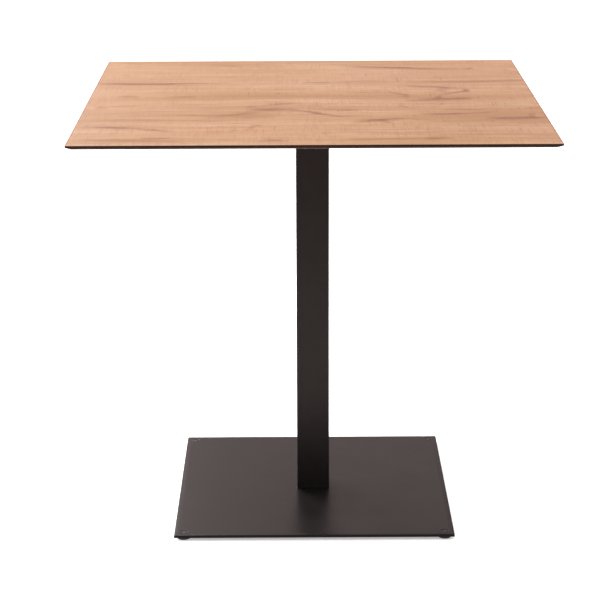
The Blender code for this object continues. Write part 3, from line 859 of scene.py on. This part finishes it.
def build_glide(corner):
    """A flanged bush in the plate, and the stud and pad on their own bodies below it."""
    bush_low, bush_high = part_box("glide_bush_" + corner)
    middle = centre_of("glide_bush_" + corner)
    flange_r = (bush_high.x - bush_low.x) / 2
    ease = HOLE_EASE
    bush = [(BUSH_BORE_R, bush_high.z - ease), (BUSH_BORE_R + ease, bush_high.z),
            (BUSH_R - ease, bush_high.z), (BUSH_R, bush_high.z - ease), (BUSH_R, bush_low.z + BUSH_FLANGE),
            (flange_r - ease, bush_low.z + BUSH_FLANGE), (flange_r, bush_low.z + BUSH_FLANGE - ease),
            (flange_r, bush_low.z + ease), (flange_r - ease, bush_low.z), (BUSH_BORE_R + ease, bush_low.z),
            (BUSH_BORE_R, bush_low.z + ease)]
    # The bush wears the plate's darker coat, which is painted shade
    finish(move(spun("press_bush_" + corner, bush, ring=True), middle.x, middle.y), PLATE_COAT_PAINTED_SHADE, "table",
           "glide_bush_" + corner)

    low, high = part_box("glide_pad_" + corner)
    stud_low, stud_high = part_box("glide_stud_" + corner)
    radius = (high.x - low.x) / 2
    foot_r = (stud_high.x - stud_low.x) / 2
    pocket_r = foot_r + HOLE_EASE
    mouth_r = M8_RADIUS + PAD_MOUTH_GAP
    pocket_low = stud_low.z - HOLE_EASE
    pocket_top = pocket_low + POCKET_HEIGHT
    grooves = [radius * share for share in PAD_GROOVE]
    pad = [(0, pocket_low), (pocket_r, pocket_low), (pocket_r, pocket_top), (mouth_r, pocket_top),
           (mouth_r, high.z - ease), (mouth_r + ease, high.z)]
    pad += arc(radius - PAD_EDGE, high.z - PAD_EDGE, PAD_EDGE, 90, 0)
    pad += arc(radius - PAD_EDGE, low.z + PAD_EDGE, PAD_EDGE, 0, -90)
    pad += [(grooves[0], low.z), (grooves[1], low.z + ease), (grooves[2], low.z + ease), (grooves[3], low.z),
            (0, low.z)]
    piece = spun("nylon_pad_" + corner, pad, sides=ROUND_PAD)
    finish(move(piece, middle.x, middle.y), NYLON, "pad_" + corner, "glide_pad_" + corner)

    foot_top = pocket_top - HOLE_EASE
    shoulder = foot_top + STUD_SHOULDER
    stud = [(0, shoulder), (M8_NECK_R, shoulder), (STUD_SHOULDER_R, foot_top), (foot_r - ease, foot_top),
            (foot_r, foot_top - ease), (foot_r, stud_low.z + ease), (foot_r - ease, stud_low.z),
            (0, stud_low.z)]
    piece = spun("levelling_stud_" + corner, stud)
    rod = threaded_rod("stud_thread", M8_RADIUS, M8_PITCH, foot_top + STUD_THREAD_START, stud_high.z - ease,
                       full_top=True)
    crown = [(0, stud_high.z), (M8_RADIUS - ease, stud_high.z), (M8_RADIUS, stud_high.z - ease),
             (M8_RADIUS, stud_high.z - 2 * ease), (0, stud_high.z - 2 * ease)]
    combine(piece, spun("stud_crown", crown), "UNION")
    combine(piece, rod, "UNION")
    slot_length = 3 * M8_RADIUS
    levels = [(stud_high.z + ease, slot_length), (stud_high.z - STUD_SLOT_DEPTH, slot_length)]
    slot = slab("stud_slot", levels, STUD_SLOT_CORNER, across=STUD_SLOT_WIDTH)
    combine(piece, slot, "DIFFERENCE")
    finish(move(piece, middle.x, middle.y), DARK_STEEL, "stud_" + corner, "glide_stud_" + corner)


looks = collection("looks")
STROKE = stroke_group()
UPPER_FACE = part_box("tabletop_surface_laminate")[1].z
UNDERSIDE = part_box("tabletop_backing_laminate")[0].z
OAK = oak_laminate("oak_laminate", UPPER_FACE, BANDS, FIGURE)
OAK_BACK = oak_laminate("oak_backing", UNDERSIDE, (), (), shift=(5.0, 3.0, 2.0))
CORE = compact_core()
POWDER = powder_coat("powder_coat", POWDER_TONE, gloss=0.42, specular=0.18)
# A darker copy of the column's coat, with weaker reflections, for the base plate and its bushes: painted
# shade. Its scuffs are wear
PLATE_COAT_PAINTED_SHADE = powder_coat("base_powder_coat_painted_shade", PLATE_SHADE_TONE, gloss=0.37, specular=0.10, scuffed=True)
ZINC_STEEL = turned_metal("zinc_plating", ZINC, 0.34)
BRASS_METAL = turned_metal("brass", BRASS, 0.32)
DARK_STEEL = turned_metal("blackened_steel", BLACK_STEEL, 0.42)
NYLON = moulded_nylon()

build_top()
build_top_fixings()
build_bracket()
build_column()
build_base()
build_countersunk_bolts("bracket_bolt", 1)
build_countersunk_bolts("base_bolt", -1)
for corner_name in CORNERS:
    build_glide(corner_name)


# ---------------------------------------------------------------- camera, floor and light

def build_camera():
    camera = bpy.data.cameras.new("camera")
    camera.lens = CAMERA_LENS
    camera.sensor_width = 36.0
    camera.clip_end = 50.0
    holder = bpy.data.objects.new("camera", camera)
    bpy.context.scene.collection.objects.link(holder)
    turn = Matrix.Rotation(math.radians(CAMERA_YAW), 4, "Z")
    tilt = Matrix.Rotation(math.radians(90 - CAMERA_DOWN), 4, "X")
    roll = Matrix.Rotation(math.radians(CAMERA_ROLL), 4, "Z")
    holder.matrix_world = Matrix.Translation(CAMERA_PLACE) @ turn @ tilt @ roll
    bpy.context.scene.camera = holder


def build_floor():
    """A white floor that glows faintly under the table and is darker in front of it; the glow is painted
    light that fills the table's contact shadow.
    """
    bm = bmesh.new()
    bmesh.ops.create_grid(bm, x_segments=8, y_segments=8, size=FLOOR_REACH)
    floor = object_from(bm, "floor")
    s = Surface("floor_paint", roughness=0.9, specular=0.1)
    s.shader.inputs["Emission Color"].default_value = (*WHITE, 1.0)
    mottle = s.noise((3.0, 3.0, 3.0), detail=2.0)
    paint = s.mix(s.span(mottle, 0.2, 0.8), FLOOR_PAINT, FLOOR_MOTTLE)
    near = s.span(s.split(s.place)[1], FLOOR_DIM_FROM, FLOOR_LIT_FROM)
    s.colour(s.mix(near, FLOOR_DIM, paint))
    # Painted light: the floor glows near the table and fills the shadow beneath it
    s.feed(s.shader.inputs["Emission Strength"], s.math("MULTIPLY", near, FLOOR_GLOW))
    floor.data.materials.append(s.material)


def build_world():
    """A white studio: brightest overhead, paler behind the table and dimmest in front of it."""
    world = bpy.data.worlds.new("studio")
    world.use_nodes = True
    bpy.context.scene.world = world
    s = Nodes(world.node_tree)
    across, away, up = s.split(s.node("ShaderNodeTexCoord").outputs["Generated"])
    horizon = s.span(away, -0.6, 0.6, HORIZON_FRONT, HORIZON_BACK)
    horizon = s.math("MULTIPLY_ADD", across, HORIZON_LEAN, horizon)
    light = s.tree.nodes["Background"]
    s.feed(light.inputs["Strength"], s.span(up, 0.25, 0.85, horizon, ZENITH))
    s.feed(light.inputs["Color"], s.mix(s.span(up, 0.2, 0.7), HORIZON_TINT, WHITE))
    backdrop = s.node("ShaderNodeBackground")
    backdrop.inputs["Color"].default_value = (*WHITE, 1.0)
    choice = s.node("ShaderNodeMixShader")
    s.feed(choice.inputs[0], s.node("ShaderNodeLightPath").outputs["Is Camera Ray"])
    s.feed(choice.inputs[1], light.outputs[0])
    s.feed(choice.inputs[2], backdrop.outputs[0])
    s.feed(s.tree.nodes["World Output"].inputs["Surface"], choice.outputs[0])


def build_light(name, place, size, energy):
    """A square panel light that faces the table."""
    lamp = bpy.data.lights.new(name, "AREA")
    lamp.shape = "SQUARE"
    lamp.size = size
    lamp.energy = energy
    holder = bpy.data.objects.new(name, lamp)
    holder.visible_camera = False
    bpy.context.scene.collection.objects.link(holder)
    back = Vector(place) - LIGHT_AIM
    holder.matrix_world = Matrix.Translation(place) @ back.to_track_quat("Z", "Y").to_matrix().to_4x4()


build_camera()
build_floor()
build_world()
build_light("softbox", place=(-1.2, 0.8, 3.4), size=3.0, energy=60)
build_light("side_panel", place=(-1.05, 1.3, 0.5), size=0.8, energy=60)
bpy.context.scene.view_settings.view_transform = "Standard"
